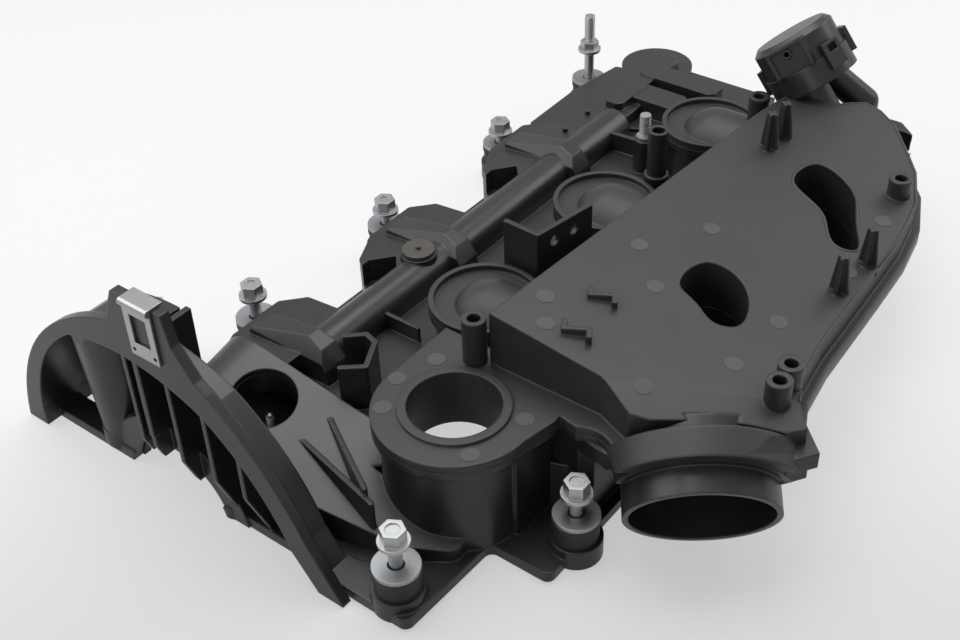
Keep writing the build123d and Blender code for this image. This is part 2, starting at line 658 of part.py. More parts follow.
def chamber_posts():
    """Tapered posts, clips and screw bosses on the chamber."""
    body = None
    for x, y, low in ((199.5, -177.5, 80), (212.5, -178.5, 80), (122, -254.5, 70), (149, -256, 70)):
        for turn in (0, 90):
            blade = Pos(x, y, low) * Rot(0, 0, turn) * loft([Pos(0, 0, 0) * Rectangle(10.5, 2.2),
                                                            Pos(0, 0, 24) * Rectangle(5, 1.6)])
            body = blade if body is None else body + blade
    for x, y, low, high in ((3.5, -139.5, 57, 84), (247, -147, 57, 82), (207.5, -244.5, 70, 86), (54, -265, 66, 85),
                            (42, -266, 66, 85)):
        body += post(x, y, 5.6, low, high)
    for x, y, turn in ((46, -178, -60), (20, -182, -60)):
        hook = Box(13, 2.4, 7) + Pos(-5.5, 3, 0) * Box(2.4, 6, 7) + Pos(5.5, -3, 0) * Box(2.4, 6, 7)
        body += Pos(x, y, 84) * Rot(0, 0, turn) * hook
    return body


def boss_holes():
    """Screw holes in the bosses of the upper moulding."""
    body = post(3.5, -139.5, 3.1, 66, 100)
    for x, y in ((247, -147), (207.5, -244.5), (54, -265), (42, -266)):
        body += post(x, y, 3.1, 74, 100)
    return body


def valve_frame():
    """The vent valve's own frame at the joint between its cap and its housing."""
    lean = radians(VALVE_LEAN)
    return Plane(origin=(VALVE_X, VALVE_Y, VALVE_Z), x_dir=(1, 0, 0), z_dir=(0, sin(lean), cos(lean)))


def plenum_shell():
    """The upper moulding."""
    body = prism(upper_outline(), SEAM_Z, SEAM_Z + LIP_HALF)
    body += chamber()
    body += arch_bar(LIP_OVER, SEAM_Z)
    neck = valve_frame() * Pos(NECK_SHIFT, 0, -HOUSING_H - 20) * Cylinder(NECK_R, 40)
    body += neck & slab(200, 330, -240, -100, SEAM_Z, 110)
    body -= chamber(WALL)
    for x, y in DISCS:
        body -= post(x, y, DISC_R - 2.5, SEAM_Z + LIP_HALF - DISC_DEPTH, SEAM_Z + LIP_HALF + 1) & slab(
            0, 300, -143, 0, 0, 100)
        dome = Pos(x, y - 4, 46) * Sphere(21) + Pos(x, y - 19, 46) * Rot(90, 0, 0) * Cylinder(21, 30)
        hollow = Pos(x, y - 4, 46) * Sphere(18.5) + Pos(x, y - 19.5, 46) * Rot(90, 0, 0) * Cylinder(18.5, 31)
        body += dome & slab(0, 300, y - 34, 0, SEAM_Z, 100)
        body -= hollow & slab(0, 300, y - 35, 0, SEAM_Z - 1, 100)
    for index in (0, 1):
        body += pocket(index, 2.5, SEAM_Z, 100) & chamber()
        body -= pocket(index, 0, SEAM_Z - 1, 101)
    body += chamber_posts()
    body -= boss_holes()
    body += post(PORT_X, PORT_Y, PORT_RING_R, SEAM_Z, SEAM_Z + LIP_HALF + PORT_RING_H)
    body += post(PORT_X, PORT_Y, PORT_R + 2.6, 32, SEAM_Z + 1)
    body -= post(PORT_X, PORT_Y, PORT_R, 0, 100)
    body -= tube(TUBE_R + SKIRT_OVER, -1, 26) & slab(-60, 90, -330, -200, SEAM_Z - 1, 100)
    body -= tube(TUBE_R, -1, TUBE_LENGTH + 1)
    body -= valve_frame() * Pos(0, 0, -HOUSING_H / 2) * Cylinder(HOUSING_R + 0.3, HOUSING_H)
    body -= valve_frame() * Pos(NECK_SHIFT, 0, -HOUSING_H - 20) * Cylinder(NECK_R - 2.5, 44)
    return body


def cover_gasket():
    """The rubber seal, with small teeth under the saddle."""
    return seal()


def intake_port_gaskets():
    """Three rubber rings at the foot of the intake ducts."""
    outer_r = DISC_R - LIP_OUT - 0.8
    inner_r = DISC_R - LIP_OUT - WALL + 0.8
    rings = []
    for x, y in DISCS:
        rings.append(post(x, y, outer_r, 0, 2.7) - post(x, y, inner_r, -1, 3))
    return Compound(rings)


def sleeves():
    """The flanged steel sleeves that take the bolts' clamp."""
    rings = []
    for _, x, y, _ in SEATS:
        one = post(x, y, SLEEVE_R, 0, SLEEVE_TOP) + post(x, y, SLEEVE_FLANGE_R, SLEEVE_TOP - SLEEVE_FLANGE_T, SLEEVE_TOP)
        rings.append(one - post(x, y, SLEEVE_BORE_R, -1, SLEEVE_TOP + 1))
    return Compound(rings)


def grommets():
    """The rubber grommets between sleeve and boss."""
    rings = []
    high = SLEEVE_TOP - SLEEVE_FLANGE_T
    for _, x, y, _ in SEATS:
        one = post(x, y, GROMMET_R, BOSS_H, high) + post(x, y, GROMMET_FOOT_R, GROMMET_FOOT_Z, BOSS_H + 1)
        one += post(x, y, GROMMET_R + 0.5, high - 3, high)
        rings.append(one - post(x, y, SLEEVE_R + GROMMET_FIT, 0, SLEEVE_TOP))
    return Compound(rings)


def bolt(x, y, lift):
    """A flanged hexagon bolt at its height above the sleeve."""
    seat = SLEEVE_TOP + lift
    body = post(x, y, BOLT_R, seat - BOLT_LENGTH, seat + 1)
    body += post(x, y, BOLT_FLANGE_R, seat, seat + BOLT_FLANGE_T)
    head = Pos(x, y, seat + BOLT_FLANGE_T) * extrude(RegularPolygon(BOLT_HEX / 2, 6, major_radius=False), BOLT_HEX_H)
    body += head - post(x, y, 3.2, seat + BOLT_FLANGE_T + BOLT_HEX_H - 0.8, seat + 20)
    return body


def stud_bolt():
    """The last outer bolt, with a threaded stud above its hexagon."""
    _, x, y, lift = STUD_BOLT
    seat = SLEEVE_TOP + lift
    body = post(x, y, BOLT_R, seat - BOLT_LENGTH, seat + 1)
    body += post(x, y, BOLT_FLANGE_R, seat, seat + BOLT_FLANGE_T)
    body += Pos(x, y, seat + BOLT_FLANGE_T) * extrude(RegularPolygon(BOLT_HEX / 2, 6, major_radius=False), 5.0)
    body += post(x, y, 3.8, seat + 5, seat + BOLT_FLANGE_T + 6.2)
    return body + post(x, y, BOLT_R, seat + 5, seat + BOLT_FLANGE_T + 5 + STUD_TOP_L)


def spring_clip():
    """The spring steel clip that straddles the lug."""
    front = FRONT_X - CLIP_GAP
    back = FRONT_X + BAND_T + CLIP_GAP
    top = LUG_TOP + CLIP_GAP
    body = slab(front - CLIP_T, front, CLIP_Y0, CLIP_Y1, CLIP_LOW, top + CLIP_T)
    body += slab(front - CLIP_T, back + CLIP_T, CLIP_Y0, CLIP_Y1, top, top + CLIP_T)
    body += slab(back, back + CLIP_T, CLIP_Y0 + 2, CLIP_Y1 - 2, 104, top + CLIP_T)
    roll = Pos(front - CLIP_T, (CLIP_Y0 + CLIP_Y1) / 2, top - 0.6) * Rot(90, 0, 0) * Cylinder(1.8, CLIP_Y1 - CLIP_Y0)
    body += roll & slab(-120, front, -70, -30, 100, 130)
    body -= slab(front - CLIP_T - 1, front + 0.1, CLIP_Y0 + 3.5, CLIP_Y1 - 3.5, CLIP_LOW + 7, top - 6)
    for y in (CLIP_Y0 + 2.2, CLIP_Y1 - 2.2):
        body -= Pos(front, y, CLIP_LOW + 3) * Rot(0, 90, 0) * Cylinder(1.1, 6)
    return body


def blanking_plug():
    """The round plug pressed into the top of the tunnel."""
    top = PLUG_SEAT_Z + 2.1
    body = post(PLUG_X, PLUG_Y, 8.3, PLUG_SEAT_Z, top) + post(PLUG_X, PLUG_Y, 3.0, PLUG_SEAT_Z - 6, PLUG_SEAT_Z)
    return body + post(PLUG_X, PLUG_Y, 1.4, top, top + 1.6)


def harness_stud():
    """The small threaded stud screwed into its post."""
    body = post(221, -92, 2.1, 38, 50.5) + post(221, -92, 4.6, 50, 52)
    return body + post(221, -92, 3.0, 52, 65)


def separator_baffle():
    """The flat oil separator plate under the tunnel."""
    body = slab(-60, 286, -89, -50, BAFFLE_Z, BAFFLE_Z + BAFFLE_T)
    for x, y in BAFFLE_SCREWS:
        body -= post(x, y, 2.0, 0, 40)
    return body


def baffle_screws():
    """The screws that hold the separator plate."""
    screws = []
    for x, y in BAFFLE_SCREWS:
        screws.append(post(x, y, 4.0, BAFFLE_Z - 2.4, BAFFLE_Z) + post(x, y, 1.5, BAFFLE_Z - 1, BAFFLE_Z + 14))
    return Compound(screws)


def vent_housing():
    """Lower half of the vent valve, with its clip tabs."""
    body = Pos(0, 0, -HOUSING_H / 2) * Cylinder(HOUSING_R, HOUSING_H)
    body -= Pos(0, 0, -HOUSING_H / 2 + 2.5) * Cylinder(CAP_R - CAP_WALL, HOUSING_H)
    body -= Pos(0, 0, -MEMBRANE_T / 2) * Cylinder(CAP_R - 1.2, MEMBRANE_T)
    for turn in (35, 100, 250, 318):
        tab = Pos(CAP_R + 2.0, 0, -1) * Box(2.8, 11, 14) - Pos(CAP_R + 2, 0, 2.4) * Box(4, 6, 4)
        body += Rot(0, 0, turn) * tab
    body -= Pos(0, 0, CAP_H / 2) * Cylinder(CAP_R + 0.2, CAP_H)
    body -= Pos(NECK_SHIFT, 0, -HOUSING_H) * Cylinder(NECK_R - 3, 12)
    body -= Pos(PIPE_SHIFT, 0, -HOUSING_H) * Cylinder(VENT_PIPE_R - 3, 12)
    return valve_frame() * body


def vent_cap():
    """Upper half of the vent valve, with the flat panel between two ribs and its breather hole."""
    shell = Pos(0, 0, CAP_H / 2) * Cylinder(CAP_R, CAP_H)
    shell = chamfer(shell.edges().group_by(Axis.Z)[-1], 3.0)
    panel = Pos(-CAP_R + 5, 0, CAP_H / 2 - 1) * Box(14, PANEL_W, CAP_H - 2)
    panel -= Pos(-CAP_R - 1.5, 0, CAP_H / 2 - 3) * Box(3, PANEL_W - 5, CAP_H - 2)
    panel += Pos(-CAP_R - 0.5, 0, CAP_H / 2 + 2) * Rot(0, 90, 0) * Cylinder(2.6, 2.5)
    shell += Rot(0, 0, PANEL_TURN) * panel
    hollow = Pos(0, 0, CAP_H / 2 - CAP_WALL / 2) * Cylinder(CAP_R - CAP_WALL, CAP_H - CAP_WALL)
    shell -= hollow
    shell -= Rot(0, 0, PANEL_TURN) * Pos(-CAP_R, 0, CAP_H / 2 + 2) * Rot(0, 90, 0) * Cylinder(1.4, 16)
    return valve_frame() * shell


def vent_membrane():
    """The rubber membrane held between the halves of the vent valve."""
    body = Pos(0, 0, -MEMBRANE_T / 2) * Cylinder(CAP_R - 1.3, MEMBRANE_T)
    body += Pos(0, 0, 0.8) * Cylinder(12, 1.6)
    return valve_frame() * body


def vent_pipe():
    """The elbow from the vent valve down to its socket."""
    start = tuple((valve_frame() * Pos(PIPE_SHIFT, 0, -HOUSING_H)).position)
    bend = (SOCKET_X, SOCKET_Y, 68.0)
    foot = (SOCKET_X, SOCKET_Y, 36.0)
    bore_r = VENT_PIPE_R - VENT_PIPE_WALL
    body = rod(start, bend, VENT_PIPE_R) + rod(bend, foot, VENT_PIPE_R) + Pos(*bend) * Sphere(VENT_PIPE_R)
    body -= rod(start, bend, bore_r) + rod(bend, (SOCKET_X, SOCKET_Y, 30.0), bore_r) + Pos(*bend) * Sphere(bore_r)
    # The top is cut flat where it meets the leaning housing.
    return body - valve_frame() * Pos(0, 0, 20 - HOUSING_H) * Box(80, 80, 40)


PIECES = {}


def main():
    os.makedirs("parts", exist_ok=True)
    PIECES["cover_body"] = cover_body()
    PIECES["plenum_shell"] = plenum_shell()
    PIECES["cover_gasket"] = cover_gasket()
    PIECES["intake_port_gaskets"] = intake_port_gaskets()
    PIECES["bolt_sleeves"] = sleeves()
    PIECES["bolt_grommets"] = grommets()
    for name, x, y, lift in BOLTS:
        PIECES[name] = bolt(x, y, lift)
    PIECES[STUD_BOLT[0]] = stud_bolt()
    PIECES["spring_clip"] = spring_clip()
    PIECES["blanking_plug"] = blanking_plug()
    PIECES["harness_stud"] = harness_stud()
    PIECES["separator_baffle"] = separator_baffle()
    PIECES["baffle_screws"] = baffle_screws()
    PIECES["vent_housing"] = vent_housing()
    PIECES["vent_cap"] = vent_cap()
    PIECES["vent_membrane"] = vent_membrane()
    PIECES["vent_pipe"] = vent_pipe()
    for name, piece in PIECES.items():
        export_step(Pos(-FOOTPRINT_X, -FOOTPRINT_Y, 0) * piece, "parts/%s.step" % name)


if __name__ == "__main__":
    main()
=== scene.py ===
# %% [markdown]
# # Engine valve cover
#
# The real object is one black nylon moulding with an intake chamber welded on top, ten captive bolts in steel
# sleeves, a spring clip and a round vent valve. Its solids come from the CAD model, which is loaded first and
# is never moved. Everything below dresses that frame: a camera, a studio, finishes, and the small pieces that
# are too fine for the solids.

# %% The frame
import json
from math import cos, pi, radians, sin

import bmesh
import bpy
from mathutils import Matrix, Vector
from mathutils.bvhtree import BVHTree

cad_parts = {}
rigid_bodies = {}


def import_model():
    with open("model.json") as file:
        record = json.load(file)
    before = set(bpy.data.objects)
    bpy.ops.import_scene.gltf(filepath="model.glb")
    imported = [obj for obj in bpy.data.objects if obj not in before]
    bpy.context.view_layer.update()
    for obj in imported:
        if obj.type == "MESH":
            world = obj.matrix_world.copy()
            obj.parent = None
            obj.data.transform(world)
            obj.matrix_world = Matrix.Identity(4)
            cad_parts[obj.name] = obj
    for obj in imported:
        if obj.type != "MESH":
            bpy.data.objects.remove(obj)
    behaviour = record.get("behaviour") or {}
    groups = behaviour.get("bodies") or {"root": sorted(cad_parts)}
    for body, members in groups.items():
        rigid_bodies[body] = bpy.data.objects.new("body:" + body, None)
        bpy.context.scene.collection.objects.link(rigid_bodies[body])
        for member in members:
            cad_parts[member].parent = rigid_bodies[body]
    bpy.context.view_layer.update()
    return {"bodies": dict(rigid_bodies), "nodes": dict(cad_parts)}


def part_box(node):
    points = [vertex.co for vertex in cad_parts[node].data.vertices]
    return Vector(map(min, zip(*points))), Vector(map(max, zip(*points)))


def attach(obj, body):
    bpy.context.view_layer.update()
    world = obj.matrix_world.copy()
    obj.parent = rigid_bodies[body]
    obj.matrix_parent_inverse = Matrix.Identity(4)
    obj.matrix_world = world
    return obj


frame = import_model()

MM = 0.001

# %% [markdown]
# The cover was drawn from its first outer bolt, so places are easiest to read in millimetres from that bolt.
# The bolt itself is in the frame, so its place is measured there, and one helper turns such a place into
# metres in the shared frame.

# %% Places
SEAM_Z = 56.0
first_low, first_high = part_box("bolt_outer_1")
first_x = (first_low[0] + first_high[0]) / 2
first_y = (first_low[1] + first_high[1]) / 2


def spot(x, y, z):
    """A place given in millimetres from the first outer bolt, in the frame's metres."""
    return Vector((first_x + x * MM, first_y + y * MM, z * MM))


print("first bolt stands at", tuple(round(v, 4) for v in spot(0, 0, 0)))

# %% [markdown]
# A camera is a place, a direction and a lens. These were measured from the photograph: the bolt pitch, the
# hexagons and the upright bolts fix where it stood, how it was tilted and how wide it saw.

# %% Camera
CAMERA_PLACE = (-351.7, -429.1, 448.3)
CAMERA_RISE = radians(38.583)
CAMERA_TURN = radians(-51.153)
CAMERA_ROLL = radians(-2.298)
FOCUS_PX = 1354.4
FRAME_PX = 960.0
SENSOR_MM = 36.0

back = Vector((sin(CAMERA_TURN) * cos(CAMERA_RISE), -cos(CAMERA_TURN) * cos(CAMERA_RISE), sin(CAMERA_RISE)))
right = Vector((cos(CAMERA_TURN), sin(CAMERA_TURN), 0))
up = back.cross(right)
side = right * cos(CAMERA_ROLL) + up * sin(CAMERA_ROLL)
over = up * cos(CAMERA_ROLL) - right * sin(CAMERA_ROLL)
lens = bpy.data.cameras.new("photo_camera")
lens.sensor_fit = "HORIZONTAL"
lens.sensor_width = SENSOR_MM
lens.lens = SENSOR_MM * FOCUS_PX / FRAME_PX
lens.clip_end = 20
camera = bpy.data.objects.new("photo_camera", lens)
bpy.context.scene.collection.objects.link(camera)
pose = Matrix((side, over, back)).transposed().to_4x4()
pose.translation = spot(*CAMERA_PLACE)
camera.matrix_world = pose
bpy.context.scene.camera = camera
bpy.context.scene.view_settings.view_transform = "Standard"
print("lens", round(lens.lens, 2), "mm")

# %% [markdown]
# Product photographs of black plastic are lit by large soft boxes: each one shows up as a broad grey sheen,
# and the gaps between them stay black. Four area lamps stand for them, with a faint even world so that the
# recesses keep some shape.

# %% Light
LAMPS = (
    ("top_box", (230, 60, 1100), (1100, 800), 9.5),
    ("back_box", (-350, 620, 760), (1100, 700), 4.2),
    ("right_box", (950, -520, 620), (700, 500), 3.0),
    ("front_box", (-900, -420, 330), (500, 400), 1.4),
)
LAMP_AIM = (110, -115, 40)
for lamp_name, place, size, power in LAMPS:
    lamp = bpy.data.lights.new(lamp_name, "AREA")
    lamp.shape = "RECTANGLE"
    lamp.size = size[0] * MM
    lamp.size_y = size[1] * MM
    lamp.energy = power
    lamp_object = bpy.data.objects.new(lamp_name, lamp)
    bpy.context.scene.collection.objects.link(lamp_object)
    lamp_object.location = spot(*place)
    away = spot(*place) - spot(*LAMP_AIM)
    lamp_object.rotation_euler = away.to_track_quat("Z", "Y").to_euler()

WORLD_LEVEL = 0.20
PAPER_TINT = (0.985, 0.98, 1, 1)
PAPER_LEVEL = 0.93
MIRROR_LEVEL = 0.50


def seen_rays(tree, level):
    """A factor of 1 for the camera's own rays and of level for rays that a glossy surface sends out."""
    path = tree.nodes.new("ShaderNodeLightPath")
    mirrored = tree.nodes.new("ShaderNodeMath")
    mirrored.operation = "MAXIMUM"
    tree.links.new(path.outputs["Is Glossy Ray"], mirrored.inputs[0])
    tree.links.new(path.outputs["Is Transmission Ray"], mirrored.inputs[1])
    weaker = tree.nodes.new("ShaderNodeMath")
    weaker.operation = "MULTIPLY"
    weaker.inputs[1].default_value = level
    tree.links.new(mirrored.outputs[0], weaker.inputs[0])
    either = tree.nodes.new("ShaderNodeMath")
    either.operation = "MAXIMUM"
    tree.links.new(path.outputs["Is Camera Ray"], either.inputs[0])
    tree.links.new(weaker.outputs[0], either.inputs[1])
    return either.outputs[0]


world = bpy.data.worlds.new("studio")
bpy.context.scene.world = world
world.use_nodes = True
nodes = world.node_tree.nodes
links = world.node_tree.links
nodes.clear()
even = nodes.new("ShaderNodeBackground")
even.inputs["Color"].default_value = (1, 1, 1, 1)
even.inputs["Strength"].default_value = WORLD_LEVEL
seen = nodes.new("ShaderNodeBackground")
seen.inputs["Color"].default_value = PAPER_TINT
seen.inputs["Strength"].default_value = PAPER_LEVEL
blend = nodes.new("ShaderNodeMixShader")
end = nodes.new("ShaderNodeOutputWorld")
links.new(seen_rays(world.node_tree, MIRROR_LEVEL), blend.inputs["Fac"])
links.new(even.outputs[0], blend.inputs[1])
links.new(seen.outputs[0], blend.inputs[2])
links.new(blend.outputs[0], end.inputs["Surface"])
print("lamps:", [row[0] for row in LAMPS])

# %% [markdown]
# The cover lies on pale paper. Its glow is painted brighter at the back and greyer towards the viewer: a
# painted light falloff, standing in for how the lamps light the paper. The paper is pale for the camera and
# for mirror rays, and darker for the light that it would throw back up, so the recesses stay black as they do
# in the photograph. It still catches the soft shadow under the flange.

# %% Floor
FLOOR_HALF = 3.0
FLOOR_GLOW = 0.62
FLOOR_MIRROR = 0.75
FLOOR_SEEN = (0.78, 0.775, 0.79, 1)
FLOOR_BOUNCE = (0.16, 0.16, 0.16, 1)
PAINTED_FALLOFF_NEAR = 0.46
PAINTED_FALLOFF_FAR = 1.0
PAINTED_FALLOFF_WAY = (0.8, 0.6, 0)
NEAR_M = -0.36
FAR_M = -0.06
sheet = bpy.data.meshes.new("paper_floor")
sheet.from_pydata([(-FLOOR_HALF, -FLOOR_HALF, 0), (FLOOR_HALF, -FLOOR_HALF, 0), (FLOOR_HALF, FLOOR_HALF, 0),
                   (-FLOOR_HALF, FLOOR_HALF, 0)], [], [(0, 1, 2, 3)])
paper = bpy.data.objects.new("paper_floor", sheet)
bpy.context.scene.collection.objects.link(paper)
paper_look = bpy.data.materials.new("white_paper")
paper_look.use_nodes = True
nodes = paper_look.node_tree.nodes
links = paper_look.node_tree.links
nodes.clear()
matt = nodes.new("ShaderNodeBsdfDiffuse")
glow = nodes.new("ShaderNodeEmission")
glow.inputs["Color"].default_value = PAPER_TINT
where = nodes.new("ShaderNodeTexCoord")
along = nodes.new("ShaderNodeVectorMath")
along.operation = "DOT_PRODUCT"
along.inputs[1].default_value = PAINTED_FALLOFF_WAY
# Painted light falloff: the paper's glow rises from the viewer's side to the back.
painted_falloff = nodes.new("ShaderNodeMapRange")
painted_falloff.inputs["From Min"].default_value = NEAR_M
painted_falloff.inputs["From Max"].default_value = FAR_M
painted_falloff.inputs["To Min"].default_value = PAINTED_FALLOFF_NEAR
painted_falloff.inputs["To Max"].default_value = PAINTED_FALLOFF_FAR
links.new(where.outputs["Object"], along.inputs[0])
links.new(along.outputs["Value"], painted_falloff.inputs["Value"])
links.new(painted_falloff.outputs[0], glow.inputs["Strength"])
rays = seen_rays(paper_look.node_tree, FLOOR_MIRROR)
tone = nodes.new("ShaderNodeMix")
tone.data_type = "RGBA"
tone.inputs[6].default_value = FLOOR_BOUNCE
tone.inputs[7].default_value = FLOOR_SEEN
share = nodes.new("ShaderNodeMath")
share.operation = "MULTIPLY"
share.inputs[1].default_value = FLOOR_GLOW
blend = nodes.new("ShaderNodeMixShader")
end = nodes.new("ShaderNodeOutputMaterial")
links.new(rays, share.inputs[0])
links.new(rays, tone.inputs["Factor"])
links.new(tone.outputs[2], matt.inputs["Color"])
links.new(share.outputs[0], blend.inputs["Fac"])
links.new(matt.outputs[0], blend.inputs[1])
links.new(glow.outputs[0], blend.inputs[2])
links.new(blend.outputs[0], end.inputs["Surface"])
sheet.materials.append(paper_look)
print("floor", 2 * FLOOR_HALF, "m wide")

# %% [markdown]
# Three effects are shared by several finishes, so each is a node group with its own inputs: the fine grain
# that a spark-eroded mould leaves on nylon, the pale rub marks on edges that hands and tools reach, and the
# thin grey film that settles on faces that look up.

# %% Shared finish groups


def group(name, inputs, outputs):
    """An empty shader group with its sockets."""
    tree = bpy.data.node_groups.new(name, "ShaderNodeTree")
    for label, kind, value in inputs:
        socket = tree.interface.new_socket(label, in_out="INPUT", socket_type=kind)
        if value is not None:
            socket.default_value = value
    for label, kind in outputs:
        tree.interface.new_socket(label, in_out="OUTPUT", socket_type=kind)
    return tree, tree.nodes.new("NodeGroupInput"), tree.nodes.new("NodeGroupOutput")


def math_node(tree, operation, first, second):
    """A Math node whose two inputs are sockets or plain numbers."""
    node = tree.nodes.new("ShaderNodeMath")
    node.operation = operation
    for place, value in enumerate((first, second)):
        if isinstance(value, (int, float)):
            node.inputs[place].default_value = value
        else:
            tree.links.new(value, node.inputs[place])
    return node.outputs[0]


def noise(tree, scale, detail=3.0, rough=0.55):
    """Noise in Object coordinates, in features per metre."""
    where = tree.nodes.new("ShaderNodeTexCoord")
    node = tree.nodes.new("ShaderNodeTexNoise")
    node.inputs["Detail"].default_value = detail
    node.inputs["Roughness"].default_value = rough
    if isinstance(scale, (int, float)):
        node.inputs["Scale"].default_value = scale
    else:
        tree.links.new(scale, node.inputs["Scale"])
    tree.links.new(where.outputs["Object"], node.inputs["Vector"])
    return node.outputs["Fac"]


FLOAT = "NodeSocketFloat"
VECTOR = "NodeSocketVector"

grain_inputs = [("Scale", FLOAT, 2200.0), ("Base roughness", FLOAT, 0.45), ("Spread", FLOAT, 0.12)]
grain_tree, g_in, g_out = group("moulded_grain", grain_inputs, [("Height", FLOAT), ("Roughness", FLOAT)])
fine = noise(grain_tree, g_in.outputs["Scale"], 2.0)
broad = noise(grain_tree, 38.0, 4.0)
height = math_node(grain_tree, "ADD", fine, math_node(grain_tree, "MULTIPLY", broad, 0.35))
about_mean = math_node(grain_tree, "SUBTRACT", broad, 0.5)
sway = math_node(grain_tree, "MULTIPLY", about_mean, g_in.outputs["Spread"])
roughness = math_node(grain_tree, "ADD", sway, g_in.outputs["Base roughness"])
grain_tree.links.new(height, g_out.inputs["Height"])
grain_tree.links.new(roughness, g_out.inputs["Roughness"])

wear_tree, w_in, w_out = group("rubbed_edges", [("Amount", FLOAT, 0.6), ("Width", FLOAT, 0.0012)],
                               [("Mask", FLOAT), ("Soft normal", VECTOR)])
soft = wear_tree.nodes.new("ShaderNodeBevel")
soft.samples = 6
wear_tree.links.new(w_in.outputs["Width"], soft.inputs["Radius"])
plain = wear_tree.nodes.new("ShaderNodeNewGeometry")
match = wear_tree.nodes.new("ShaderNodeVectorMath")
match.operation = "DOT_PRODUCT"
wear_tree.links.new(soft.outputs[0], match.inputs[0])
wear_tree.links.new(plain.outputs["Normal"], match.inputs[1])
bend = math_node(wear_tree, "SUBTRACT", 1.0, match.outputs["Value"])
spread = wear_tree.nodes.new("ShaderNodeMapRange")
spread.inputs["From Min"].default_value = 0.01
spread.inputs["From Max"].default_value = 0.22
wear_tree.links.new(bend, spread.inputs["Value"])
patchy = wear_tree.nodes.new("ShaderNodeMapRange")
patchy.inputs["From Min"].default_value = 0.40
patchy.inputs["From Max"].default_value = 0.66
wear_tree.links.new(noise(wear_tree, 95.0, 5.0), patchy.inputs["Value"])
mask = math_node(wear_tree, "MULTIPLY", spread.outputs[0], patchy.outputs[0])
wear_tree.links.new(math_node(wear_tree, "MULTIPLY", mask, w_in.outputs["Amount"]), w_out.inputs["Mask"])
wear_tree.links.new(soft.outputs[0], w_out.inputs["Soft normal"])

dust_tree, d_in, d_out = group("settled_dust", [("Amount", FLOAT, 0.25)], [("Mask", FLOAT)])
facing = dust_tree.nodes.new("ShaderNodeNewGeometry")
split = dust_tree.nodes.new("ShaderNodeSeparateXYZ")
dust_tree.links.new(facing.outputs["Normal"], split.inputs[0])
level = dust_tree.nodes.new("ShaderNodeMapRange")
level.inputs["From Min"].default_value = 0.55
level.inputs["From Max"].default_value = 1.0
dust_tree.links.new(split.outputs["Z"], level.inputs["Value"])
cloud = noise(dust_tree, 26.0, 6.0, 0.62)
film = math_node(dust_tree, "MULTIPLY", level.outputs[0], cloud)
dust_tree.links.new(math_node(dust_tree, "MULTIPLY", film, d_in.outputs["Amount"]), d_out.inputs["Mask"])
print("groups:", [tree.name for tree in (grain_tree, wear_tree, dust_tree)])

# %% [markdown]
# Each finish is a Principled shader fed by those groups. The lower moulding is the darker and glossier of the
# two; the chamber's moulding has a paler satin. Rubber is matt. The bolts are dull zinc with a fine grain,
# their sleeves a darker worn zinc, and the spring clip is a smoother strip.

# %% Finishes
DUST_TINT = (0.30, 0.295, 0.285, 1)
GRAIN_SPREAD = 0.16
GRAIN_STRENGTH = 0.35


def place_group(tree, source, values):
    """One shared group in a material, with its own values."""
    node = tree.nodes.new("ShaderNodeGroup")
    node.node_tree = source
    for label, value in values.items():
        node.inputs[label].default_value = value
    return node


def mix_colour(tree, factor, first, second):
    """Two colours mixed by a mask. Each may be a socket or a plain colour."""
    node = tree.nodes.new("ShaderNodeMix")
    node.data_type = "RGBA"
    tree.links.new(factor, node.inputs["Factor"])
    for slot_index, value in ((6, first), (7, second)):
        if isinstance(value, tuple):
            node.inputs[slot_index].default_value = value
        else:
            tree.links.new(value, node.inputs[slot_index])
    return node.outputs[2]


def finish(name, colour, rough, metal=0.0, grain_scale=2200.0, grain_depth=0.00004, rub=0.5, rub_colour=None,
           dust=0.2, edge=0.0010, specular=0.5, coat=0.0):
    """A material with moulded grain, rubbed edges and settled dust."""
    look = bpy.data.materials.new(name)
    look.use_nodes = True
    tree = look.node_tree
    shader = tree.nodes["Principled BSDF"]
    grain_values = {"Scale": grain_scale, "Base roughness": rough, "Spread": GRAIN_SPREAD}
    grain = place_group(tree, grain_tree, grain_values)
    wear = place_group(tree, wear_tree, {"Amount": rub, "Width": edge})
    film = place_group(tree, dust_tree, {"Amount": dust})
    pale = rub_colour or tuple(min(1.0, 0.06 + 2.6 * c) for c in colour)
    base = mix_colour(tree, wear.outputs["Mask"], (*colour, 1), (*pale, 1))
    base = mix_colour(tree, film.outputs["Mask"], base, DUST_TINT)
    bump = tree.nodes.new("ShaderNodeBump")
    bump.inputs["Strength"].default_value = GRAIN_STRENGTH
    bump.inputs["Distance"].default_value = grain_depth
    tree.links.new(grain.outputs["Height"], bump.inputs["Height"])
    tree.links.new(wear.outputs["Soft normal"], bump.inputs["Normal"])
    tree.links.new(base, shader.inputs["Base Color"])
    tree.links.new(grain.outputs["Roughness"], shader.inputs["Roughness"])
    tree.links.new(bump.outputs[0], shader.inputs["Normal"])
    shader.inputs["Metallic"].default_value = metal
    shader.inputs["Specular IOR Level"].default_value = specular
    shader.inputs["Coat Weight"].default_value = coat
    return look


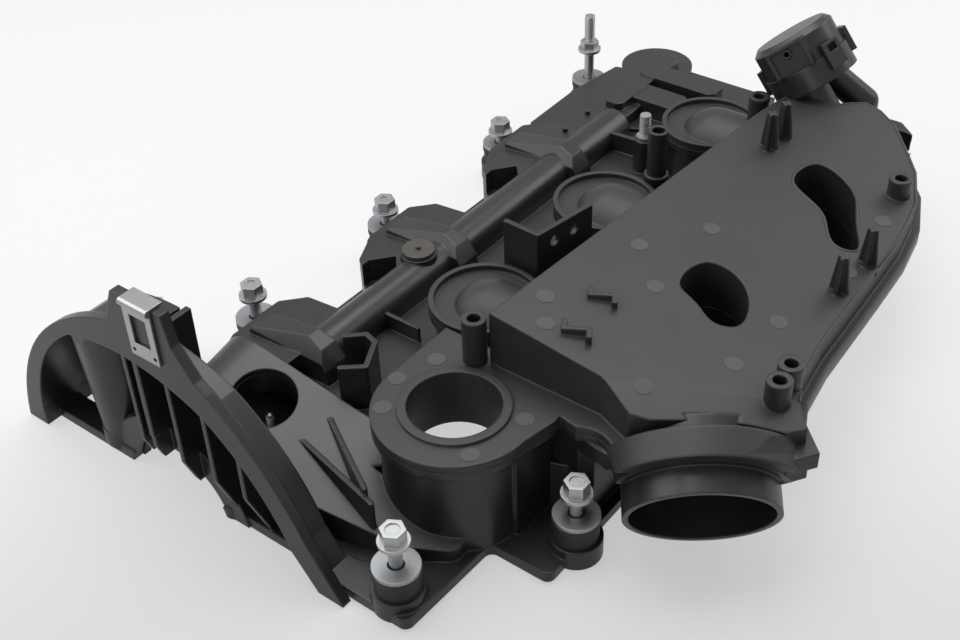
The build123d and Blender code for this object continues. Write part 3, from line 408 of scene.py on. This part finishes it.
LOWER = finish("lower_nylon", (0.019, 0.019, 0.020), 0.33, rub=0.45, dust=0.035, edge=0.0012)
UPPER = finish("upper_nylon", (0.022, 0.022, 0.023), 0.46, rub=0.35, dust=0.04, edge=0.0015)
VALVE_LOOK = finish("valve_nylon", (0.020, 0.020, 0.021), 0.34, rub=0.3, dust=0.03, edge=0.0008)
PLUG_LOOK = finish("plug_nylon", (0.052, 0.046, 0.040), 0.42, rub=0.4, dust=0.12)
MARK_LOOK = finish("pin_mark_nylon", (0.058, 0.058, 0.059), 0.60, rub=0.2, dust=0.05, edge=0.0003)
RUBBER = finish("seal_rubber", (0.014, 0.014, 0.015), 0.60, grain_scale=900.0, rub=0.12, dust=0.12,
                edge=0.0005)
ZINC = finish("dull_zinc", (0.44, 0.45, 0.455), 0.40, metal=1.0, grain_scale=700.0, grain_depth=0.00003,
              rub=0.35, rub_colour=(0.66, 0.66, 0.65), dust=0.10, edge=0.0004)
SLEEVE_LOOK = finish("worn_sleeve_zinc", (0.33, 0.34, 0.35), 0.46, metal=1.0, grain_scale=600.0,
                     grain_depth=0.00003, rub=0.5, rub_colour=(0.58, 0.58, 0.575), dust=0.14, edge=0.0005)
SPRING = finish("spring_strip", (0.42, 0.42, 0.425), 0.33, metal=1.0, grain_scale=500.0, grain_depth=0.00002,
                rub=0.3, rub_colour=(0.60, 0.60, 0.60), dust=0.06, edge=0.0004)

LOOK_OF = {"cover_body": LOWER, "plenum_shell": UPPER, "vent_cap": VALVE_LOOK, "vent_housing": VALVE_LOOK,
           "vent_pipe": LOWER, "blanking_plug": PLUG_LOOK, "separator_baffle": LOWER, "cover_gasket": RUBBER,
           "intake_port_gaskets": RUBBER, "bolt_grommets": RUBBER, "vent_membrane": RUBBER,
           "spring_clip": SPRING, "bolt_sleeves": SLEEVE_LOOK}
for node_name, node_object in frame["nodes"].items():
    look = LOOK_OF.get(node_name, ZINC)
    node_object.data.materials.clear()
    node_object.data.materials.append(look)
print("finishes on", len(frame["nodes"]), "nodes")

# %% [markdown]
# Small things that repeat are grown by Geometry Nodes. Each starts from a seed mesh of bare points or edges,
# a tree turns the seed into real shapes, and the result is kept as one plain mesh. The tree's sizes are named
# inputs, so one tree serves every place that needs its shape.

# %% Growing tools
GEOMETRY = "NodeSocketGeometry"
MATERIAL = "NodeSocketMaterial"
WHOLE = "NodeSocketInt"


def growth(name, inputs):
    """A geometry tree with named inputs, with its first and last nodes."""
    tree = bpy.data.node_groups.new(name, "GeometryNodeTree")
    tree.interface.new_socket("Geometry", in_out="INPUT", socket_type=GEOMETRY)
    for label, kind, value in inputs:
        socket = tree.interface.new_socket(label, in_out="INPUT", socket_type=kind)
        if value is not None:
            socket.default_value = value
    tree.interface.new_socket("Finish", in_out="INPUT", socket_type=MATERIAL)
    tree.interface.new_socket("Geometry", in_out="OUTPUT", socket_type=GEOMETRY)
    return tree, tree.nodes.new("NodeGroupInput"), tree.nodes.new("NodeGroupOutput")


def close_tree(tree, start, end, geometry, smooth):
    """Every tree ends in real geometry with one material."""
    real = tree.nodes.new("GeometryNodeRealizeInstances")
    shade = tree.nodes.new("GeometryNodeSetShadeSmooth")
    shade.inputs["Shade Smooth"].default_value = smooth
    dress = tree.nodes.new("GeometryNodeSetMaterial")
    tree.links.new(geometry, real.inputs["Geometry"])
    tree.links.new(real.outputs["Geometry"], shade.inputs["Geometry"])
    tree.links.new(shade.outputs["Geometry"], dress.inputs["Geometry"])
    tree.links.new(start.outputs["Finish"], dress.inputs["Material"])
    tree.links.new(dress.outputs["Geometry"], end.inputs["Geometry"])


def grow(name, tree, points, edges, values, body, facing=None):
    """A plain mesh grown from seed points and edges, riding on a body."""
    seed = bpy.data.meshes.new(name + "_seed")
    seed.from_pydata([tuple(point) for point in points], edges, [])
    if facing:
        ways = seed.attributes.new("facing", "FLOAT_VECTOR", "POINT")
        for way, direction in zip(ways.data, facing):
            way.vector = direction
    host = bpy.data.objects.new(name + "_seed", seed)
    bpy.context.scene.collection.objects.link(host)
    step = host.modifiers.new("grow", "NODES")
    step.node_group = tree
    for item in tree.interface.items_tree:
        if item.item_type == "SOCKET" and item.in_out == "INPUT" and item.name in values:
            step[item.identifier] = values[item.name]
    view = bpy.context.evaluated_depsgraph_get()
    mesh = bpy.data.meshes.new_from_object(host.evaluated_get(view), depsgraph=view)
    bpy.data.objects.remove(host)
    piece = bpy.data.objects.new(name, mesh)
    bpy.context.scene.collection.objects.link(piece)
    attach(piece, body)
    return piece


print("growing tools ready")

# %% [markdown]
# Marks and pips sit on whatever surface is under them, so their places are found by dropping a ray on the
# mouldings, or by looking through the camera at a pixel of the photograph and taking the first surface hit.

# %% Landing on a surface
PHOTO_MID = (480.0, 320.0)
HIGH_MM = 200.0
corners = []
faces = []
for node_name in ("plenum_shell", "cover_body"):
    mesh = frame["nodes"][node_name].data
    first = len(corners)
    corners += [vertex.co.copy() for vertex in mesh.vertices]
    faces += [[first + number for number in polygon.vertices] for polygon in mesh.polygons]
SKIN = BVHTree.FromPolygons(corners, faces)


def drop(x, y):
    """The surface under a place given in millimetres from the first bolt, and the way it faces."""
    where, normal, _, _ = SKIN.ray_cast(spot(x, y, HIGH_MM), Vector((0, 0, -1)))
    return where, normal


def seen(pixel_x, pixel_y):
    """The first surface behind a pixel of the photograph, and the way it faces."""
    ray = side * (pixel_x - PHOTO_MID[0]) - over * (pixel_y - PHOTO_MID[1]) - back * FOCUS_PX
    where, normal, _, _ = SKIN.ray_cast(spot(*CAMERA_PLACE), ray.normalized())
    return where, normal


print("surfaces to land on:", len(faces), "faces")

# %% [markdown]
# Ejector pins push a moulding out of its mould and leave round marks a hair above the surface, paler and
# duller than the rest. They repeat, so a tree puts one flat disc at each seed point, turned the way the
# surface faces.

# %% Ejector pin marks
MARK_R = 4.2
MARK_PROUD = 0.14
MARK_SIDES = 28
CHAMBER_MARKS = ((31, -158), (17, -168), (69, -191), (85, -244), (49, -242), (13, -220), (122, -189),
                 (183, -248), (89, -170), (137, -252))
PLATE_MARKS = ((-6, -125), (-26, -119), (-44, -126), (-15, -180), (-45, -174))

disc_inputs = [("Radius", FLOAT, MARK_R * MM), ("Height", FLOAT, 2 * MARK_PROUD * MM),
               ("Sides", WHOLE, MARK_SIDES)]
discs, start, end = growth("pressed_discs", disc_inputs)
disc = discs.nodes.new("GeometryNodeMeshCylinder")
facing = discs.nodes.new("GeometryNodeInputNamedAttribute")
facing.data_type = "FLOAT_VECTOR"
facing.inputs["Name"].default_value = "facing"
turn = discs.nodes.new("FunctionNodeAlignRotationToVector")
turn.axis = "Z"
place = discs.nodes.new("GeometryNodeInstanceOnPoints")
discs.links.new(start.outputs["Sides"], disc.inputs["Vertices"])
discs.links.new(start.outputs["Radius"], disc.inputs["Radius"])
discs.links.new(start.outputs["Height"], disc.inputs["Depth"])
discs.links.new(facing.outputs["Attribute"], turn.inputs["Vector"])
discs.links.new(start.outputs["Geometry"], place.inputs["Points"])
discs.links.new(disc.outputs["Mesh"], place.inputs["Instance"])
discs.links.new(turn.outputs["Rotation"], place.inputs["Rotation"])
close_tree(discs, start, end, place.outputs["Instances"], False)

landed = [drop(x, y) for x, y in CHAMBER_MARKS + PLATE_MARKS]
grow("pin_marks", discs, [where for where, _ in landed], [],
     {"Radius": MARK_R * MM, "Height": 2 * MARK_PROUD * MM, "Sides": MARK_SIDES, "Finish": MARK_LOOK},
     "cover", [normal for _, normal in landed])
print("pin marks:", len(landed))

# %% [markdown]
# Three low square pips stand on the far block. They are the same tree with four sides.

# %% Square pips
PIP_R = 1.9
PIP_HIGH = 2.2
PIPS = ((241.3, -40), (215, -41.9), (196.8, -38.7))
landed = [drop(x, y) for x, y in PIPS]
grow("square_pips", discs, [where for where, _ in landed], [],
     {"Radius": PIP_R * MM, "Height": 2 * PIP_HIGH * MM, "Sides": 4, "Finish": LOWER},
     "cover", [Vector((0, 0, 1))] * len(landed))
print("pips:", len(landed))

# %% [markdown]
# A patch of fine pips covers the slope above the inlet tube, in straight rows. Each row is laid out on the
# photograph's pixels between the corners of the patch, and each pip lands on the surface behind its pixel.

# %% Pipped patch
PATCH_NEAR_LEFT = (752, 452)
PATCH_NEAR_RIGHT = (798, 452)
PATCH_FAR_LEFT = (768, 437)
PATCH_FAR_RIGHT = (806, 434)
PATCH_ROWS = 8
PATCH_COLUMNS = 17
GRIT_R = 0.55
GRIT_SINK = 0.4

domes, start, end = growth("fine_domes", [("Radius", FLOAT, GRIT_R * MM)])
dome = domes.nodes.new("GeometryNodeMeshIcoSphere")
dome.inputs["Subdivisions"].default_value = 2
place = domes.nodes.new("GeometryNodeInstanceOnPoints")
domes.links.new(start.outputs["Radius"], dome.inputs["Radius"])
domes.links.new(start.outputs["Geometry"], place.inputs["Points"])
domes.links.new(dome.outputs["Mesh"], place.inputs["Instance"])
close_tree(domes, start, end, place.outputs["Instances"], True)

landed = []
for row in range(PATCH_ROWS):
    across = row / (PATCH_ROWS - 1)
    left = Vector(PATCH_NEAR_LEFT).lerp(Vector(PATCH_FAR_LEFT), across)
    right_end = Vector(PATCH_NEAR_RIGHT).lerp(Vector(PATCH_FAR_RIGHT), across)
    for column in range(PATCH_COLUMNS):
        along_row = (column + 0.5 * (row % 2)) / PATCH_COLUMNS
        where, normal = seen(*left.lerp(right_end, along_row))
        if where and normal.z > 0.3 and where.z > SEAM_Z * MM:
            landed.append(where - normal * GRIT_R * MM * GRIT_SINK)
grow("pipped_patch", domes, landed, [], {"Radius": GRIT_R * MM, "Finish": UPPER}, "cover")
print("fine pips:", len(landed))

# %% [markdown]
# The two mouldings are welded along one winding line, and the weld squeezes out a thin bead all round. The
# line is already in the frame, where the upper moulding's wall meets its lower face, so the bead takes its
# path from those edges and a tree sweeps a round section along it.

# %% Weld bead
BEAD_R = 0.8
BEAD_SIDES = 8
BEAD_BELOW = 0.9
SAME_HEIGHT = 0.00002


def corner_edges(node_name, flat_way, on_plane):
    """Edges of a node that lie on a plane, between a face on that plane and a steep wall."""
    mesh = frame["nodes"][node_name].data
    found = {}
    for polygon in mesh.polygons:
        flat = abs(polygon.normal.dot(flat_way)) > 0.995
        wall = abs(polygon.normal.z) < 0.35
        if not flat and not wall:
            continue
        around = [mesh.vertices[number].co for number in polygon.vertices]
        for one, other in zip(around, around[1:] + around[:1]):
            if on_plane(one) and on_plane(other):
                key = frozenset((tuple(round(v, 6) for v in one), tuple(round(v, 6) for v in other)))
                found.setdefault(key, set()).add("flat" if flat else "wall")
    return [tuple(key) for key, kinds in found.items() if len(kinds) == 2 and len(key) == 2]


def edge_loops(edges):
    """Edges sorted into connected groups, the widest first, each as points and pairs of point numbers."""
    neighbours = {}
    for one, other in edges:
        neighbours.setdefault(one, []).append(other)
        neighbours.setdefault(other, []).append(one)
    loops = []
    left_over = set(neighbours)
    while left_over:
        group_points = []
        waiting = [min(left_over)]
        left_over.discard(waiting[0])
        while waiting:
            point = waiting.pop()
            group_points.append(point)
            for other in neighbours[point]:
                if other in left_over:
                    left_over.discard(other)
                    waiting.append(other)
        number = {point: place for place, point in enumerate(group_points)}
        pairs = [(number[one], number[other]) for one, other in edges if one in number]
        wide = max(point[0] for point in group_points) - min(point[0] for point in group_points)
        loops.append((wide, group_points, pairs))
    return sorted(loops, key=lambda loop: -loop[0])


beads, start, end = growth("swept_beads", [("Radius", FLOAT, BEAD_R * MM), ("Sides", WHOLE, BEAD_SIDES)])
line = beads.nodes.new("GeometryNodeMeshToCurve")
ring = beads.nodes.new("GeometryNodeCurvePrimitiveCircle")
sweep = beads.nodes.new("GeometryNodeCurveToMesh")
sweep.inputs["Fill Caps"].default_value = True
beads.links.new(start.outputs["Geometry"], line.inputs["Mesh"])
beads.links.new(start.outputs["Sides"], ring.inputs["Resolution"])
beads.links.new(start.outputs["Radius"], ring.inputs["Radius"])
beads.links.new(line.outputs["Curve"], sweep.inputs["Curve"])
beads.links.new(ring.outputs["Curve"], sweep.inputs["Profile Curve"])
close_tree(beads, start, end, sweep.outputs["Mesh"], True)

seam = edge_loops(corner_edges("plenum_shell", Vector((0, 0, 1)),
                               lambda point: abs(point.z - SEAM_Z * MM) < SAME_HEIGHT))[0]
low_line = [Vector(point) - Vector((0, 0, BEAD_BELOW * MM)) for point in seam[1]]
grow("weld_bead", beads, low_line, seam[2], {"Radius": BEAD_R * MM, "Sides": BEAD_SIDES, "Finish": LOWER},
     "cover")
print("weld bead:", len(seam[1]), "points,", round(seam[0], 3), "m wide")

# %% [markdown]
# The two wells in the chamber's roof have rounded rims. Their outlines are found the same way, on the sloping
# plane of the roof: the widest group is the roof's own edge and the next two are the wells.

# %% Rims of the wells
RIM_R = 1.0
RIM_SIDES = 10
RIM_SINK = 0.55
ROOF_PLACE = (0, -147, 88)
ROOF_FALL = 0.12
ROOF_WAY = Vector((0, -ROOF_FALL, 1)).normalized()
roof_point = spot(*ROOF_PLACE)


def on_roof(point):
    """Whether a point lies on the chamber's sloping roof."""
    return abs((point - roof_point).dot(ROOF_WAY)) < SAME_HEIGHT


rims = edge_loops(corner_edges("plenum_shell", ROOF_WAY, on_roof))
for number, (_, points, pairs) in enumerate(rims[1:3]):
    lower_line = [Vector(point) - ROOF_WAY * RIM_R * RIM_SINK * MM for point in points]
    grow("well_rim_%d" % (number + 1), beads, lower_line, pairs,
         {"Radius": RIM_R * MM, "Sides": RIM_SIDES, "Finish": UPPER}, "cover")
print("roof edges:", [round(loop[0], 3) for loop in rims[:5]])

# %% [markdown]
# Threads are helices, so a tree winds a spiral of the thread's pitch and sweeps a small section along it. The
# captive bolts show theirs from below, the last bolt carries a threaded stud above its hexagon, and the short
# harness stud is threaded to its top. Each thread rides on its own bolt.

# %% Threads
THREAD_PITCH = 1.0
THREAD_R = 2.98
THREAD_DEPTH = 0.26
TIP_THREAD = 12.0
TIP_GAP = 0.6
STUD_THREAD = 14.5
HARNESS_AT = (221, -92, 52.6)
HARNESS_THREAD = 12.0

thread_inputs = [("Turns", FLOAT, TIP_THREAD / THREAD_PITCH), ("Length", FLOAT, TIP_THREAD * MM),
                 ("Radius", FLOAT, THREAD_R * MM), ("Depth", FLOAT, THREAD_DEPTH * MM)]
threads, start, end = growth("wound_thread", thread_inputs)
coil = threads.nodes.new("GeometryNodeCurveSpiral")
coil.inputs["Resolution"].default_value = 20
tooth = threads.nodes.new("GeometryNodeCurvePrimitiveCircle")
tooth.inputs["Resolution"].default_value = 4
sweep = threads.nodes.new("GeometryNodeCurveToMesh")
sweep.inputs["Fill Caps"].default_value = True
place = threads.nodes.new("GeometryNodeInstanceOnPoints")
threads.links.new(start.outputs["Turns"], coil.inputs["Rotations"])
threads.links.new(start.outputs["Radius"], coil.inputs["Start Radius"])
threads.links.new(start.outputs["Radius"], coil.inputs["End Radius"])
threads.links.new(start.outputs["Length"], coil.inputs["Height"])
threads.links.new(start.outputs["Depth"], tooth.inputs["Radius"])
threads.links.new(coil.outputs["Curve"], sweep.inputs["Curve"])
threads.links.new(tooth.outputs["Curve"], sweep.inputs["Profile Curve"])
threads.links.new(start.outputs["Geometry"], place.inputs["Points"])
threads.links.new(sweep.outputs["Mesh"], place.inputs["Instance"])
close_tree(threads, start, end, place.outputs["Instances"], False)


def thread(name, foot, length, body):
    """A thread of the bolts' pitch, upwards from its foot."""
    return grow(name, threads, [foot], [],
                {"Turns": length / THREAD_PITCH, "Length": length * MM, "Radius": THREAD_R * MM,
                 "Depth": THREAD_DEPTH * MM, "Finish": ZINC}, body)


bolt_names = [name for name in frame["nodes"] if "bolt_" in name and name in frame["bodies"]]
for name in bolt_names:
    low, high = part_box(name)
    tip = Vector(((low[0] + high[0]) / 2, (low[1] + high[1]) / 2, low[2] + TIP_GAP * MM))
    thread(name + "_thread", tip, TIP_THREAD, name)
low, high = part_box("stud_bolt_outer_4")
stud_low = high[2] - (STUD_THREAD + TIP_GAP) * MM
stud_foot = Vector(((low[0] + high[0]) / 2, (low[1] + high[1]) / 2, stud_low))
thread("stud_thread", stud_foot, STUD_THREAD, "stud_bolt_outer_4")
thread("harness_thread", spot(*HARNESS_AT), HARNESS_THREAD, "cover")
print("threads on", len(bolt_names), "bolts and two studs")

# %% [markdown]
# Under the oil filler the real cover is black: a splash plate joins the separator plate there, and the end of
# one of its screws shows at the hole's edge. The plate is one outline given a thickness, and the screw is a
# turned profile with its thread wound round it. Three low webs, made like the plate, fill the corners where
# the hood, the port tower and the flange meet. They are painted shade: dark sheets set there so the floor
# doesn't show through and the corners read black.

# %% Splash plate under the filler
PLATE_LOW = 10.2
PLATE_THICK = 1.6
SPLASH_OUTLINE = ((-58, -50.5), (-58, -30), (-52, -23), (-40, -20.5), (-12, -20.5), (-7, -25), (-7, -50.5))
# Painted shade: low dark webs, each given as x span, y span and height, that hide the floor in three corners.
PAINTED_SHADE_WEBS = ((-90, -68, -149, -118, 4.2), (-48, -22, -122, -98, 5.4), (-30, 4, -196, -180, 4.2))
SCREW_THREAD = {"Turns": 7.0, "Length": 8.4 * MM, "Radius": 1.9 * MM, "Depth": 0.3 * MM, "Finish": ZINC}
SCREW_THREAD_LOW = 2.0
SCREW_AT = (-49.5, -57.5)
SCREW_LOW = 11.8
SCREW_PROFILE = ((0.0, 0.0), (3.6, 0.0), (3.6, 0.8), (1.9, 1.2), (1.9, 10.4), (1.4, 11.6), (0.6, 12.2),
                 (0.0, 12.3))


def add_piece(name, mesh, look, body):
    """A finished mesh as a piece of the object."""
    mesh.materials.append(look)
    piece = bpy.data.objects.new(name, mesh)
    bpy.context.scene.collection.objects.link(piece)
    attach(piece, body)
    return piece


def thick_plate(name, outline, low, thick, look, edge=0.5):
    """A level plate cut to an outline, with softened edges."""
    shape = bmesh.new()
    rim = [shape.verts.new(spot(x, y, low)) for x, y in outline]
    base = shape.faces.new(rim)
    raised = bmesh.ops.extrude_face_region(shape, geom=[base])
    top_points = [item for item in raised["geom"] if isinstance(item, bmesh.types.BMVert)]
    bmesh.ops.translate(shape, verts=top_points, vec=(0, 0, thick * MM))
    bmesh.ops.bevel(shape, geom=list(shape.edges), offset=edge * MM, segments=2, profile=0.5, affect="EDGES")
    bmesh.ops.recalc_face_normals(shape, faces=list(shape.faces))
    mesh = bpy.data.meshes.new(name)
    shape.to_mesh(mesh)
    shape.free()
    return add_piece(name, mesh, look, "cover")


def turned(name, profile, foot, look, body, steps=24):
    """A shape turned on an upright axis from pairs of radius and height."""
    shape = bmesh.new()
    line = [shape.verts.new(foot + Vector((radius * MM, 0, height * MM))) for radius, height in profile]
    edges = [shape.edges.new(pair) for pair in zip(line, line[1:])]
    bmesh.ops.spin(shape, geom=line + edges, cent=foot, axis=(0, 0, 1), angle=2 * pi, steps=steps)
    bmesh.ops.remove_doubles(shape, verts=list(shape.verts), dist=0.00001)
    bmesh.ops.recalc_face_normals(shape, faces=list(shape.faces))
    mesh = bpy.data.meshes.new(name)
    shape.to_mesh(mesh)
    shape.free()
    return add_piece(name, mesh, look, body)


thick_plate("splash_plate", SPLASH_OUTLINE, PLATE_LOW, PLATE_THICK, LOWER)
# Painted shade: each web is a dark sheet set where the floor would show, so the corner reads black.
for number, (x0, x1, y0, y1, low_mm) in enumerate(PAINTED_SHADE_WEBS):
    web_outline = ((x0, y0), (x1, y0), (x1, y1), (x0, y1))
    thick_plate("painted_shade_web_%d" % (number + 1), web_outline, low_mm, PLATE_THICK, LOWER)
screw_foot = spot(*SCREW_AT, SCREW_LOW)
turned("splash_screw", SCREW_PROFILE, screw_foot, ZINC, "cover")
thread_foot = screw_foot + Vector((0, 0, SCREW_THREAD_LOW * MM))
grow("splash_screw_thread", threads, [thread_foot], [], SCREW_THREAD, "cover")
print("splash plate and screw stand under the filler,", len(PAINTED_SHADE_WEBS), "webs close the corners")
